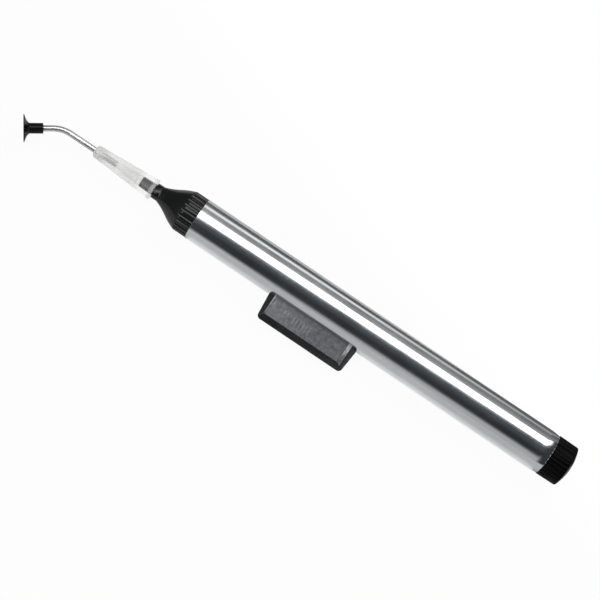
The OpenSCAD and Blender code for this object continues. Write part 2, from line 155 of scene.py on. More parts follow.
def cut_away(piece, cutter):
    """Cuts one piece with another, which is used up."""
    cut = piece.modifiers.new("cut", "BOOLEAN")
    cut.object = cutter
    cut.operation = "DIFFERENCE"
    cut.solver = "EXACT"
    choose(piece)
    bpy.ops.object.modifier_apply(modifier=cut.name)
    bpy.data.objects.remove(cutter)


def ease_edges(piece, width, angle=smooth_angle):
    """Rounds every edge of a piece that is sharper than an angle, and smooths the rest."""
    bevel = piece.modifiers.new("eased edges", "BEVEL")
    bevel.width = width
    bevel.segments = ease_segments
    bevel.limit_method = "ANGLE"
    bevel.angle_limit = math.radians(angle)
    choose(piece)
    bpy.ops.object.modifier_apply(modifier=bevel.name)
    bpy.ops.object.shade_smooth_by_angle(angle=math.radians(angle))


def lay_down(piece, place=Matrix.Identity(4)):
    """Lays a piece that was modelled about the pen's axis where the pen lies."""
    piece.matrix_world = pen_lay @ place
    choose(piece)
    bpy.ops.object.transform_apply(location=True, rotation=True, scale=True)


def roll_point(share):
    """A point of the barrel's tail, which rolls in more and more before its rounded edge."""
    along = barrel_length - tail_edge - tail_roll_length * (1 - share)
    return (along, barrel_radius - tail_roll_depth * share ** 2)


barrel = spin_outline("barrel", [
    (0, barrel_bore),
    (0, barrel_radius - front_edge),
    (front_edge, barrel_radius),
    *[roll_point(step / tail_roll_steps) for step in range(tail_roll_steps)],
    *quarter(
        barrel_length - tail_edge, barrel_radius - tail_roll_depth,
        tail_edge, tail_edge, tail_edge_steps,
    ),
    (barrel_length, barrel_bore),
    (0, barrel_bore),
])
slot_start = trigger_start - slot_gap
slot_end = trigger_end + slot_gap
slot_half = half_width + slot_gap
slot_corners = [
    (slot_start, slot_half - bevel_drop),
    (slot_start + end_bevel, slot_half),
    (slot_end - end_bevel, slot_half),
    (slot_end, slot_half - bevel_drop),
    (slot_end, bevel_drop - slot_half),
    (slot_end - end_bevel, -slot_half),
    (slot_start + end_bevel, -slot_half),
    (slot_start, bevel_drop - slot_half),
]
slot_cutter = raise_outline(
    "slot_cutter", [(along, 0, across) for along, across in slot_corners],
    (0, -barrel_radius - cut_overrun, 0),
)
bpy.ops.object.mode_set(mode="OBJECT")
cut_away(barrel, slot_cutter)
choose(barrel)
bpy.ops.object.shade_smooth_by_angle(angle=math.radians(smooth_angle))
lay_down(barrel)


def feed(tree, socket, value):
    """Links a node's output to a socket, or sets the socket to a plain value."""
    if isinstance(value, bpy.types.NodeSocket):
        tree.links.new(value, socket)
    else:
        socket.default_value = value


def add_node(tree, kind, settings=None, **inputs):
    """Adds a shader node, sets its properties, and sets or links its inputs by name."""
    made = tree.nodes.new(kind)
    for key, value in (settings or {}).items():
        setattr(made, key, value)
    for key, value in inputs.items():
        feed(tree, made.inputs[key.replace("_", " ")], value)
    return made


def work_out(tree, kind, operation, *values):
    """Adds a maths node that works on values in their order, and returns its result."""
    made = add_node(tree, kind, {"operation": operation})
    for socket, value in zip(made.inputs, values):
        feed(tree, socket, value)
    return made.outputs["Value"] if operation == "DOT_PRODUCT" else made.outputs[0]


def map_range(tree, value, start, end, first, last):
    """A value that goes from first to last while another goes from start to end."""
    made = add_node(
        tree, "ShaderNodeMapRange",
        Value=value, From_Min=start, From_Max=end, To_Min=first, To_Max=last,
    )
    return made.outputs[0]


def set_ramp(made, stops):
    """Gives a colour ramp its stops, each as (position, colour)."""
    for position, colour in stops[1:-1]:
        made.color_ramp.elements.new(position)
    for element, (position, colour) in zip(made.color_ramp.elements, stops):
        element.position = position
        element.color = (*colour, 1)


def new_group(name, inputs, outputs):
    """Starts a shader node group with named sockets, each given as (name, kind, default)."""
    group = bpy.data.node_groups.new(name, "ShaderNodeTree")
    for label, kind, default in inputs:
        socket = group.interface.new_socket(label, in_out="INPUT", socket_type=kind)
        if default is not None:
            socket.default_value = default
    for label, kind in outputs:
        group.interface.new_socket(label, in_out="OUTPUT", socket_type=kind)
    return group, group.nodes.new("NodeGroupInput"), group.nodes.new("NodeGroupOutput")


# Polishing: lines that the belt left along a metal piece, and faint smudges that dull it in places
polish_group, polish_in, polish_out = new_group(
    "polished metal",
    [
        ("Vector", "NodeSocketVector", None),
        ("Lines", "NodeSocketFloat", 3000.0),
        ("Stretch", "NodeSocketFloat", 0.01),
        ("Smudges", "NodeSocketFloat", 60.0),
        ("Smooth", "NodeSocketFloat", 0.1),
        ("Dull", "NodeSocketFloat", 0.2),
    ],
    [("Roughness", "NodeSocketFloat"), ("Tone", "NodeSocketFloat"), ("Height", "NodeSocketFloat")],
)
polish_scale = add_node(
    polish_group, "ShaderNodeCombineXYZ", X=polish_in.outputs["Stretch"], Y=1.0, Z=1.0,
)
polish_stretched = work_out(
    polish_group, "ShaderNodeVectorMath", "MULTIPLY",
    polish_in.outputs["Vector"], polish_scale.outputs[0],
)
polish_lines = add_node(
    polish_group, "ShaderNodeTexNoise",
    Vector=polish_stretched, Scale=polish_in.outputs["Lines"], Detail=3.0, Roughness=0.6,
)
polish_smudges = add_node(
    polish_group, "ShaderNodeTexNoise",
    Vector=polish_in.outputs["Vector"], Scale=polish_in.outputs["Smudges"], Detail=4.0, Roughness=0.55,
)
polish_mixed = work_out(
    polish_group, "ShaderNodeMath", "MULTIPLY", polish_lines.outputs[0], polish_smudges.outputs[0],
)
polish_rough = map_range(
    polish_group, polish_mixed, 0.12, 0.42, polish_in.outputs["Smooth"], polish_in.outputs["Dull"],
)
polish_group.links.new(polish_rough, polish_out.inputs["Roughness"])
polish_group.links.new(polish_smudges.outputs[0], polish_out.inputs["Tone"])
polish_group.links.new(polish_lines.outputs[0], polish_out.inputs["Height"])


def finished(name, group, stops, depth, **settings):
    """A material whose tone, roughness and fine relief come from a group of finishing nodes."""
    made = bpy.data.materials.new(name)
    made.use_nodes = True
    tree = made.node_tree
    shader = tree.nodes["Principled BSDF"]
    place = add_node(tree, "ShaderNodeTexCoord")
    finish = add_node(
        tree, "ShaderNodeGroup", {"node_tree": group}, Vector=place.outputs["Object"], **settings,
    )
    tone = add_node(tree, "ShaderNodeValToRGB", Fac=finish.outputs["Tone"])
    set_ramp(tone, stops)
    bump = add_node(
        tree, "ShaderNodeBump", Strength=1.0, Distance=depth, Height=finish.outputs["Height"],
    )
    tree.links.new(tone.outputs["Color"], shader.inputs["Base Color"])
    tree.links.new(finish.outputs["Roughness"], shader.inputs["Roughness"])
    tree.links.new(bump.outputs["Normal"], shader.inputs["Normal"])
    return made


def metal(name, bright, dark, lines, stretch, smooth, dull, depth):
    """A polished metal: its two shades, its polishing lines and how smooth and how dull it gets."""
    made = finished(
        name, polish_group, [(0.3, dark), (0.7, bright)], depth,
        Lines=lines, Stretch=stretch, Smooth=smooth, Dull=dull,
    )
    made.node_tree.nodes["Principled BSDF"].inputs["Metallic"].default_value = 1.0
    return made


polished_steel = metal(
    "polished_steel", bright=(0.64, 0.66, 0.67), dark=(0.58, 0.60, 0.61),
    lines=2600, stretch=0.006, smooth=0.09, dull=0.18, depth=0.0015 * mm,
)
barrel.data.materials.append(polished_steel)
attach(barrel, "barrel")
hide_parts("barrel_tube")


# Nose cone
# A black moulding: a fluted grip ring, a cone that eases into a neck, and a male luer taper with an
# air bore. Its spigot sits in the barrel, with a groove for a seal and a seat for the spring.
ring_length = 5 * mm
cone_length = 10.6 * mm
cone_ease = 0.25
cone_steps = 32
crease = 0.3 * mm
neck_length = 2.4 * mm
neck_radius = 2.9 * mm
luer_root = 2.149 * mm
luer_tip = 1.975 * mm
air_bore = 1 * mm
nose_step = 0.05 * mm
nose_radius = barrel_radius - nose_step
spigot_gap = 0.05 * mm
spigot_radius = barrel_bore - spigot_gap
groove_depth = 1.54 * mm
groove_radius = barrel_bore - groove_depth
groove_width = 1.7 * mm
spring_seat_radius = 5.5 * mm
spring_seat_depth = 2 * mm
flute_count = 24
flute_radius = 0.9 * mm
flute_depth = 0.35 * mm
flute_sides = 32
flute_overrun = 0.5 * mm
steps_per_flute = 12
nose_ease = 0.05 * mm
nose_low, nose_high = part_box("nose_cone")
luer_front = nose_low.x - barrel_low.x
spigot_end = nose_high.x - barrel_low.x
nose_seal_low, nose_seal_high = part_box("nose_seal")
groove_middle = (nose_seal_low.x + nose_seal_high.x) / 2 - barrel_low.x
cone_front = -ring_length - cone_length
shoulder = cone_front - neck_length


def cone_point(share):
    """A point of the cone, from the ring at 0 to the neck at 1, eased into both."""
    eased = share - cone_ease * math.sin(2 * math.pi * share) / (2 * math.pi)
    return (-ring_length - cone_length * share, nose_radius - (nose_radius - neck_radius) * eased)


def add_flutes(name, count, start, end, radius, section, depth):
    """Round bars around the axis, which cut flutes of a depth into a piece of a radius."""
    bpy.ops.object.select_all(action="DESELECT")
    bpy.ops.mesh.primitive_cylinder_add(
        vertices=flute_sides, radius=section, depth=end - start, rotation=(0, math.pi / 2, 0),
        location=((start + end) / 2, 0, radius + section - depth),
    )
    bars = bpy.context.object
    bars.name = name
    bpy.ops.object.transform_apply(location=True, rotation=True, scale=True)
    bpy.ops.object.mode_set(mode="EDIT")
    bpy.ops.mesh.select_all(action="SELECT")
    bpy.ops.mesh.spin(
        steps=count - 1, angle=2 * math.pi * (count - 1) / count, dupli=True,
        center=(0, 0, 0), axis=(1, 0, 0),
    )
    bpy.ops.mesh.select_all(action="SELECT")
    bpy.ops.mesh.normals_make_consistent(inside=False)
    bpy.ops.object.mode_set(mode="OBJECT")
    return bars


def shade_evenly(piece):
    """Keeps the shading of long faces straight beside their small rounded edges."""
    shading = piece.modifiers.new("even shading", "WEIGHTED_NORMAL")
    shading.keep_sharp = True
    choose(piece)
    bpy.ops.object.modifier_apply(modifier=shading.name)


nose = spin_outline("nose", [
    (luer_front, air_bore),
    (luer_front, luer_tip),
    (shoulder, luer_root),
    (shoulder, neck_radius),
    (cone_front - crease, neck_radius),
    *[cone_point(1 - step / cone_steps) for step in range(cone_steps + 1)],
    (crease - ring_length, nose_radius),
    (0, nose_radius),
    (0, spigot_radius),
    (groove_middle - groove_width / 2, spigot_radius),
    (groove_middle - groove_width / 2, groove_radius),
    (groove_middle + groove_width / 2, groove_radius),
    (groove_middle + groove_width / 2, spigot_radius),
    (spigot_end, spigot_radius),
    (spigot_end, spring_seat_radius),
    (spigot_end - spring_seat_depth, spring_seat_radius),
    (spigot_end - spring_seat_depth, air_bore),
    (luer_front, air_bore),
], steps=flute_count * steps_per_flute)
cut_away(nose, add_flutes(
    "nose_flutes", flute_count, cone_front, flute_overrun, nose_radius, flute_radius, flute_depth,
))
ease_edges(nose, nose_ease)
shade_evenly(nose)
lay_down(nose)


# Moulded plastic: a fine grain from the tool, patches that shine a little more, and a worn tone
grain_group, grain_in, grain_out = new_group(
    "moulded plastic",
    [
        ("Vector", "NodeSocketVector", None),
        ("Grain", "NodeSocketFloat", 5000.0),
        ("Patches", "NodeSocketFloat", 120.0),
        ("Smooth", "NodeSocketFloat", 0.3),
        ("Dull", "NodeSocketFloat", 0.45),
    ],
    [("Roughness", "NodeSocketFloat"), ("Tone", "NodeSocketFloat"), ("Height", "NodeSocketFloat")],
)
grain_fine = add_node(
    grain_group, "ShaderNodeTexNoise",
    Vector=grain_in.outputs["Vector"], Scale=grain_in.outputs["Grain"], Detail=2.0, Roughness=0.5,
)
grain_patches = add_node(
    grain_group, "ShaderNodeTexNoise",
    Vector=grain_in.outputs["Vector"], Scale=grain_in.outputs["Patches"], Detail=5.0, Roughness=0.6,
)
grain_rough = map_range(
    grain_group, grain_patches.outputs[0], 0.3, 0.7,
    grain_in.outputs["Smooth"], grain_in.outputs["Dull"],
)
grain_group.links.new(grain_rough, grain_out.inputs["Roughness"])
grain_group.links.new(grain_patches.outputs[0], grain_out.inputs["Tone"])
grain_group.links.new(grain_fine.outputs[0], grain_out.inputs["Height"])


def moulding(name, dark, light, grain, smooth, dull, depth, patches=120, shine=0.5):
    """A moulded plastic: its two tones, its grain, its gloss, its patches and how much it shines."""
    made = finished(
        name, grain_group, [(0.3, dark), (0.75, light)], depth,
        Grain=grain, Patches=patches, Smooth=smooth, Dull=dull,
    )
    made.node_tree.nodes["Principled BSDF"].inputs["Specular IOR Level"].default_value = shine
    return made


black_plastic = moulding(
    "black_plastic", dark=(0.0025, 0.0028, 0.003), light=(0.005, 0.0055, 0.006),
    grain=5000, smooth=0.14, dull=0.24, depth=0.001 * mm, shine=0.42,
)
nose.data.materials.append(black_plastic)
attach(nose, "barrel")
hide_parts("nose_cone")


# Seals
# Moulded rubber O-rings, one in the nose's spigot and one on the piston: their solids are the right
# shape, and take a rubber with a dry bloom.
black_rubber = moulding(
    "black_rubber", dark=(0.002, 0.002, 0.002), light=(0.005, 0.005, 0.0048),
    grain=3500, smooth=0.2, dull=0.3, depth=0.002 * mm, shine=0.16,
)
for seal in ("nose_seal", "piston_seal"):
    frame["nodes"][seal].material_slots[0].material = black_rubber


# Return spring
# A compression spring of bright steel wire with a closed turn at each end, which stands between the
# nose's seat and the piston and is pressed together as the piston comes forwards.
wire_radius = 0.4 * mm
wire_sides = 16
coil_radius = 5 * mm
coil_turns = 6
steps_per_turn = 48
coil_smooth_angle = 40
closed_rise = 0.84 * mm
spring_low, spring_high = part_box("return_spring")
spring_front = spring_low.x - barrel_low.x + wire_radius
spring_rise = spring_high.x - spring_low.x - 2 * wire_radius
open_rise = spring_rise - 2 * closed_rise


def add_coil(name, start, rise, turns):
    """A stretch of round wire wound about the axis, from a start along it."""
    bpy.ops.object.select_all(action="DESELECT")
    bpy.ops.mesh.primitive_circle_add(
        vertices=wire_sides, radius=wire_radius, fill_type="NOTHING", rotation=(math.pi / 2, 0, 0),
    )
    coil = bpy.context.object
    coil.name = name
    bpy.ops.object.transform_apply(location=True, rotation=True, scale=True)
    bpy.ops.object.mode_set(mode="EDIT")
    bpy.ops.mesh.select_mode(type="VERT")
    bpy.ops.mesh.select_all(action="SELECT")
    bpy.ops.transform.translate(value=(start, 0, coil_radius))
    bpy.ops.object.mode_set(mode="OBJECT")
    winding = coil.modifiers.new("winding", "SCREW")
    winding.axis = "X"
    winding.angle = 2 * math.pi * turns
    winding.screw_offset = rise
    winding.steps = steps_per_turn * turns
    winding.render_steps = steps_per_turn * turns
    choose(coil)
    bpy.ops.object.modifier_apply(modifier=winding.name)
    return coil


spring = add_coil("spring", spring_front, closed_rise, 1)
front_end = spring_front + closed_rise
middle_turns = add_coil("spring_middle", front_end, open_rise, coil_turns - 2)
rear_turn = add_coil("spring_rear", front_end + open_rise, closed_rise, 1)
choose(spring)
middle_turns.select_set(True)
rear_turn.select_set(True)
bpy.ops.object.join()
bpy.ops.object.mode_set(mode="EDIT")
bpy.ops.mesh.select_all(action="SELECT")
bpy.ops.mesh.remove_doubles(threshold=weld)
bpy.ops.mesh.select_all(action="DESELECT")
bpy.ops.mesh.select_mode(type="EDGE")
bpy.ops.mesh.select_non_manifold()
bpy.ops.mesh.fill_holes(sides=0)
bpy.ops.mesh.select_all(action="SELECT")
bpy.ops.mesh.normals_make_consistent(inside=False)
bpy.ops.object.mode_set(mode="OBJECT")
bpy.ops.object.shade_smooth_by_angle(angle=math.radians(coil_smooth_angle))
lay_down(spring)
bright_steel = metal(
    "bright_steel", bright=(0.67, 0.67, 0.675), dark=(0.62, 0.62, 0.625),
    lines=20000, stretch=0.05, smooth=0.3, dull=0.36, depth=0.0001 * mm,
)
spring.data.materials.append(bright_steel)
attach(spring, "barrel")
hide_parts("return_spring")
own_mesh(spring)


# Piston, slider and cam
# Natural nylon mouldings that turn the press of the trigger into the piston's stroke, and the screw
# that holds the piston: inside the barrel, so their solids stay and take their finish here.
natural_plastic = moulding(
    "natural_plastic", dark=(0.66, 0.64, 0.58), light=(0.78, 0.77, 0.71),
    grain=3000, smooth=0.38, dull=0.52, depth=0.003 * mm,
)
for moulded in ("piston_head", "cam_slider", "trigger_cam"):
    frame["nodes"][moulded].material_slots[0].material = natural_plastic
frame["nodes"]["piston_screw"].material_slots[0].material = bright_steel


# Trigger button
# A hollow black moulding that sits on the cam and slides in the barrel's slot. Flat bevels run round
# its two flanks, and each flank has a sunk etched panel with a few fine ribs and rounded ends, whose
# rounds and rib tops take a paler material: a painted highlight.
trigger_height = 9.2 * mm
trigger_reach = barrel_radius + trigger_height
trigger_foot = 5.82 * mm
trigger_draft = 0.9 * mm
trigger_round = 1.6 * mm
trigger_round_steps = 10
edge_bevel = 2.6 * mm
rear_bevel = 3.2 * mm
ramp_front = 43.5 * mm
end_wall = 2.4 * mm
side_wall = 1.6 * mm
# Widths of the rounds at the panel ends, which carry a painted highlight
front_highlight_round = 0.2 * mm
rear_highlight_round = 0.75 * mm
panel_slope = 0.12 * mm
panel_depth = 0.1 * mm
rib_start = 44.4 * mm
rib_count = 9
rib_pitch = 1.35 * mm
rib_width = 0.4 * mm
rib_near = 9.6 * mm
rib_far = 14.2 * mm
rib_height = 0.07 * mm
rib_slope = 0.1 * mm
lead_bar_start = 39.6 * mm
lead_bar_near = 8.8 * mm
lead_bar_far = 11.8 * mm
highlight_round_steps = 4
button_ease = 0.05 * mm
button_ease_angle = 20
flat_facing = 0.999
flank_least_area = 20 * mm * mm
same_place = 0.01 * mm
# Painted light: the etched panels are paler at the front and a little darker towards the rear
panel_light_from = 37 * mm
panel_light_to = 60 * mm
panel_light_tones = (0.18, -0.06)
# The painted highlight on the rounds and rib tops is brightest near the barrel and dims outwards
highlight_fade_from = 8 * mm
highlight_fade_to = 14.5 * mm
highlight_fade_tones = (0.22, -0.2)
etched_slot = 1
highlight_slot = 2


def side_corner(along, direction):
    """Points of an outer corner of the button seen from its side, from the edge round to an end."""
    bend = quarter(0, trigger_reach, trigger_round, trigger_round, trigger_round_steps)
    return [(along + direction * step, -reach, half_width) for step, reach in bend]


button = raise_outline("button", [
    (trigger_start, -trigger_foot, half_width),
    *reversed(side_corner(trigger_start + trigger_draft + trigger_round, -1)),
    *side_corner(trigger_end - trigger_draft - trigger_round, 1),
    (trigger_end, -trigger_foot, half_width),
], (0, 0, -2 * half_width))
etched_plastic = moulding(
    "etched_plastic", dark=(0.075, 0.079, 0.086), light=(0.21, 0.219, 0.232),
    grain=2600, smooth=0.5, dull=0.62, depth=0.006 * mm, patches=800,
)
# A paler material that paints a highlight on the rounded panel ends and the rib tops
painted_highlight_plastic = moulding(
    "painted_highlight_plastic", dark=(0.05, 0.052, 0.055), light=(0.52, 0.53, 0.54),
    grain=2600, smooth=0.35, dull=0.5, depth=0.004 * mm, patches=700,
)


def fade_tone(moulded, direction, start, end, first, last):
    """Makes a moulding paler or darker along a direction, between two distances."""
    tree = moulded.node_tree
    ramp = next(made for made in tree.nodes if made.type == "VALTORGB")
    place = add_node(tree, "ShaderNodeTexCoord")
    along = work_out(tree, "ShaderNodeVectorMath", "DOT_PRODUCT", place.outputs["Object"], direction)
    fade = map_range(tree, along, start, end, first, last)
    plain = ramp.inputs["Fac"].links[0].from_socket
    tree.links.new(work_out(tree, "ShaderNodeMath", "ADD", plain, fade), ramp.inputs["Fac"])


# Paints light on the etched panels: paler at the front, a little darker towards the rear
fade_tone(
    etched_plastic, (1, 0, 0), barrel_low.x + panel_light_from, barrel_low.x + panel_light_to, *panel_light_tones,
)
# The painted highlight dims from near the barrel outwards
outwards = -Vector(press["axis"])
axis_out = outwards.dot(barrel_middle)
fade_tone(painted_highlight_plastic, outwards, axis_out + highlight_fade_from, axis_out + highlight_fade_to, *highlight_fade_tones)
satin_black = moulding(
    "satin_black", dark=(0.014, 0.0145, 0.015), light=(0.022, 0.023, 0.024),
    grain=5000, smooth=0.2, dull=0.3, depth=0.001 * mm,
)
for finish in (satin_black, etched_plastic, painted_highlight_plastic):
    button.data.materials.append(finish)


def split(point, direction, clear=False):
    """In edit mode, cuts the selected faces along a plane and can clear what lies beyond it."""
    bpy.ops.mesh.bisect(
        plane_co=point, plane_no=Vector(direction).normalized(), use_fill=clear, clear_outer=clear,
        threshold=weld,
    )


def shave(point, direction):
    """In edit mode, cuts away all that lies beyond a plane and closes the cut."""
    bpy.ops.mesh.select_all(action="SELECT")
    split(point, direction, clear=True)


shave((ramp_front, 0, 0), (-1, 1, 0))
for flank in (-1, 1):
    bevel_across = flank * (half_width - bevel_drop)
    shave((trigger_start, 0, bevel_across), (-bevel_drop, 0, flank * end_bevel))
    shave((trigger_end, 0, bevel_across), (bevel_drop, 0, flank * rear_bevel))
    shave((0, -trigger_reach, bevel_across), (0, -bevel_drop, flank * edge_bevel))


def round_with_highlight(along, width):
    """In edit mode, rounds the flank edges at one end and paints a highlight on the rounds."""
    def is_end(edge):
        return all(
            abs(corner.co.x - along) < same_place and abs(corner.co.z) > half_width - same_place
            for corner in edge.verts
        )

    pick(button, "EDGE", is_end)
    bpy.ops.mesh.bevel(offset=width, segments=highlight_round_steps, affect="EDGES", material=highlight_slot)


round_with_highlight(trigger_start + end_bevel, front_highlight_round)
round_with_highlight(trigger_end - rear_bevel, rear_highlight_round)


def is_flank(face):
    """Whether a face is a flat side of the button."""
    return abs(face.normal.z) > flat_facing and face.calc_area() > flank_least_area


def is_panel(face):
    """Whether a face lies on the sunk floor of a panel."""
    depth = half_width - abs(face.calc_center_median().z)
    return abs(face.normal.z) > flat_facing and abs(depth - panel_depth) < same_place


pick(button, "FACE", is_flank)
bpy.ops.mesh.inset(thickness=panel_slope, depth=-panel_depth, use_individual=True)
button.active_material_index = etched_slot
bpy.ops.object.material_slot_assign()


def raise_bar(start, near, far):
    """In edit mode, raises a fine bar across each panel, with a painted highlight on its top."""
    def in_strip(face):
        return is_panel(face) and start < face.calc_center_median().x < start + rib_width

    def in_bar(face):
        return in_strip(face) and near < -face.calc_center_median().y < far

    for along in (start, start + rib_width):
        pick(button, "FACE", is_panel)
        split((along, 0, 0), (1, 0, 0))
    for reach in (near, far):
        pick(button, "FACE", in_strip)
        split((0, -reach, 0), (0, 1, 0))
    pick(button, "FACE", in_bar)
    bpy.ops.mesh.inset(thickness=rib_slope, depth=rib_height, use_individual=True)
    button.active_material_index = highlight_slot
    bpy.ops.object.material_slot_assign()


raise_bar(lead_bar_start, lead_bar_near, lead_bar_far)
for rib in range(rib_count):
    raise_bar(rib_start + rib * rib_pitch, rib_near, rib_far)
pocket = [
    (trigger_start + end_wall, half_width - side_wall),
    (trigger_end - end_wall, half_width - side_wall),
    (trigger_end - end_wall, side_wall - half_width),
    (trigger_start + end_wall, side_wall - half_width),
]
bpy.ops.object.mode_set(mode="OBJECT")
pocket_cutter = raise_outline(
    "pocket_cutter", [(along, 0, across) for along, across in pocket],
    (0, side_wall - trigger_reach, 0),
)
bpy.ops.object.mode_set(mode="OBJECT")
cut_away(button, pocket_cutter)
ease_edges(button, button_ease, angle=button_ease_angle)
lay_down(button)
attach(button, "trigger")
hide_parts("trigger_button")


# End cap
# A black moulded cap with fine flutes, a rounded rear edge and an end that bulges a little. Its hollow
# spigot sits in the barrel, and the gate of the tool left a shallow dimple in the middle of its end.
cap_draft = 0.1 * mm
cap_round = 0.6 * mm
cap_round_steps = 8
cap_dome = 1.4 * mm
cap_dome_steps = 12
cap_wall = 1.6 * mm
cap_flute_count = 32
cap_flute_radius = 0.7 * mm
cap_flute_depth = 0.18 * mm
steps_per_cap_flute = 8
cap_ease = 0.05 * mm
gate_radius = 0.7 * mm
gate_depth = 0.15 * mm
cap_low, cap_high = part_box("end_cap")
cap_end = cap_high.x - barrel_low.x
cap_spigot = cap_low.x - barrel_low.x
cap_end_radius = nose_radius - cap_draft
cap_inner = spigot_radius - cap_wall
cap_floor = cap_end - cap_wall - cap_round - cap_dome
cap_face = cap_end_radius - cap_round


def dome_point(share):
    """A point of the cap's bulging end, from the middle at 0 to its rounded edge at 1."""
    return (cap_end - cap_dome * share ** 2, cap_face * share)


gate_share = gate_radius / cap_face
dome_shares = [
    1 - (1 - gate_share) * step / cap_dome_steps for step in range(1, cap_dome_steps + 1)
]
cap_edge = cap_end - cap_dome - cap_round
cap = spin_outline("cap", [
    (cap_floor, 0),
    (cap_floor, cap_inner),
    (cap_spigot, cap_inner),
    (cap_spigot, spigot_radius),
    (barrel_length, spigot_radius),
    (barrel_length, nose_radius),
    *quarter(cap_edge, cap_end_radius, cap_round, cap_round, cap_round_steps),
    *[dome_point(share) for share in dome_shares],
    (cap_end - gate_depth, gate_radius - gate_depth),
    (cap_end - gate_depth, 0),
], steps=cap_flute_count * steps_per_cap_flute)
cut_away(cap, add_flutes(
    "cap_flutes", cap_flute_count, barrel_length - flute_overrun, cap_end + cut_overrun,
    cap_end_radius, cap_flute_radius, cap_flute_depth,
))
ease_edges(cap, cap_ease)
shade_evenly(cap)
lay_down(cap)
dull_black = moulding(
    "dull_black", dark=(0.0009, 0.001, 0.001), light=(0.0022, 0.0023, 0.0023),
    grain=5000, smooth=0.22, dull=0.32, depth=0.001 * mm, shine=0.06,
)
cap.data.materials.append(dull_black)
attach(cap, "barrel")
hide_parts("end_cap")


# Needle hub
# A milky polypropylene hub that is pushed on the luer taper and turns on it. It narrows to a rounded
# front, has a thin rim round its mouth, and holds the glued end of the needle.
hub_rim = 0.15 * mm
hub_rim_length = 1.2 * mm
hub_rear = 3.85 * mm
hub_front = 2.35 * mm
hub_round = 0.9 * mm
hub_round_steps = 8
hub_steps = 144
hub_ease = 0.06 * mm
needle_radius = 1.1 * mm
needle_in_hub = 9 * mm
needle_gap = 0.02 * mm
socket_depth = 6.1 * mm
socket_gap = 0.05 * mm
socket_taper = 0.03
socket_mouth = luer_root + socket_gap
socket_end = socket_mouth - socket_depth * socket_taper
hub_cloud = [
    (0, 0.75),
    (0.1, 0.6),
    (0.22, 0.3),
    (0.4, 0.29),
    (0.48, 0.34),
    (0.7, 0.33),
    (0.8, 0.09),
    (0.93, 0.09),
    (0.955, 0.3),
    (1, 0.3),
]
hub_low, hub_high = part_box("needle_hub")
hub_mouth = hub_high.x - barrel_low.x
hub_end = hub_low.x - barrel_low.x
needle_seat = needle_radius + needle_gap
needle_stop = hub_end + needle_in_hub + needle_gap
front_round = quarter(0, hub_front, hub_round, hub_round, hub_round_steps)
hub = spin_outline("hub", [
    (hub_mouth, socket_mouth),
    (hub_mouth, hub_rear + hub_rim),
    (hub_mouth - hub_rim_length, hub_rear + hub_rim),
    (hub_mouth - hub_rim_length, hub_rear),
    *[(hub_end + hub_round - along, out) for along, out in front_round],
    (hub_end, needle_seat),
    (needle_stop, needle_seat),
    (hub_mouth - socket_depth, socket_end),
    (hub_mouth, socket_mouth),
], steps=hub_steps)
ease_edges(hub, hub_ease)
lay_down(hub)
milky_plastic = moulding(
    "milky_plastic", dark=(0.84, 0.85, 0.83), light=(0.92, 0.925, 0.91),
    grain=1500, smooth=0.2, dull=0.3, depth=0.0003 * mm,
)
milky_tree = milky_plastic.node_tree
milky_place = add_node(milky_tree, "ShaderNodeTexCoord")
milky_axes = add_node(milky_tree, "ShaderNodeSeparateXYZ", Vector=milky_place.outputs["Object"])
milky_share = map_range(milky_tree, milky_axes.outputs["X"], hub_low.x, hub_high.x, 0.0, 1.0)
milky_cloud = add_node(milky_tree, "ShaderNodeValToRGB", Fac=milky_share)
set_ramp(milky_cloud, [(share, [density] * 3) for share, density in hub_cloud])
milky_shader = milky_tree.nodes["Principled BSDF"]
milky_tree.links.new(milky_cloud.outputs["Color"], milky_shader.inputs["Alpha"])
hub.data.materials.append(milky_plastic)
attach(hub, "needle")
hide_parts("needle_hub")


# Needle tube
# A thin stainless steel tube, bent once in a former and polished. One end is glued in the hub, and
# the other end reaches into the cup.
needle_wall = 0.35 * mm
needle_free = 14 * mm
needle_sides = 48
needle_ease = 0.04 * mm
needle_lean = math.radians(-15)
bend_radius = 11 * mm
bend_angle = math.radians(35)
bend_steps = 20
cup_reach = 13.9 * mm
cup_length = 7 * mm
needle_in_cup = 4.2 * mm
bend_tangent = bend_radius * math.tan(bend_angle / 2)
needle_back = hub_end + needle_in_hub
bend_corner = hub_end - needle_free
bend_start = bend_corner + bend_tangent
needle_turn = Matrix.Rotation(needle_lean, 4, "X")
last_straight = cup_reach - cup_length + needle_in_cup - bend_tangent
bpy.ops.object.select_all(action="DESELECT")
bpy.ops.mesh.primitive_circle_add(
    vertices=needle_sides, radius=needle_radius, fill_type="NOTHING", rotation=(0, math.pi / 2, 0),
)
needle = bpy.context.object
needle.name = "needle"
bpy.ops.object.transform_apply(location=True, rotation=True, scale=True)
bpy.ops.object.mode_set(mode="EDIT")
bpy.ops.mesh.select_mode(type="VERT")
bpy.ops.mesh.select_all(action="SELECT")
bpy.ops.transform.translate(value=(needle_back, 0, 0))
bpy.ops.mesh.extrude_region_move(
    TRANSFORM_OT_translate={"value": (bend_start - needle_back, 0, 0)},
)
bpy.ops.mesh.spin(
    steps=bend_steps, angle=bend_angle, center=(bend_start, -bend_radius, 0), axis=(0, 0, -1),
)
last_direction = Vector((-math.cos(bend_angle), -math.sin(bend_angle), 0))
bpy.ops.mesh.extrude_region_move(
    TRANSFORM_OT_translate={"value": last_direction * last_straight},
)
bpy.ops.mesh.select_all(action="SELECT")
bpy.ops.mesh.remove_doubles(threshold=weld)
bpy.ops.mesh.normals_make_consistent(inside=False)
bpy.ops.object.mode_set(mode="OBJECT")
wall = needle.modifiers.new("wall", "SOLIDIFY")
wall.thickness = needle_wall
wall.offset = -1
bpy.ops.object.modifier_apply(modifier=wall.name)
ease_edges(needle, needle_ease)
lay_down(needle, needle_turn)
needle.data.materials.append(bright_steel)
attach(needle, "needle")
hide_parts("needle_tube")


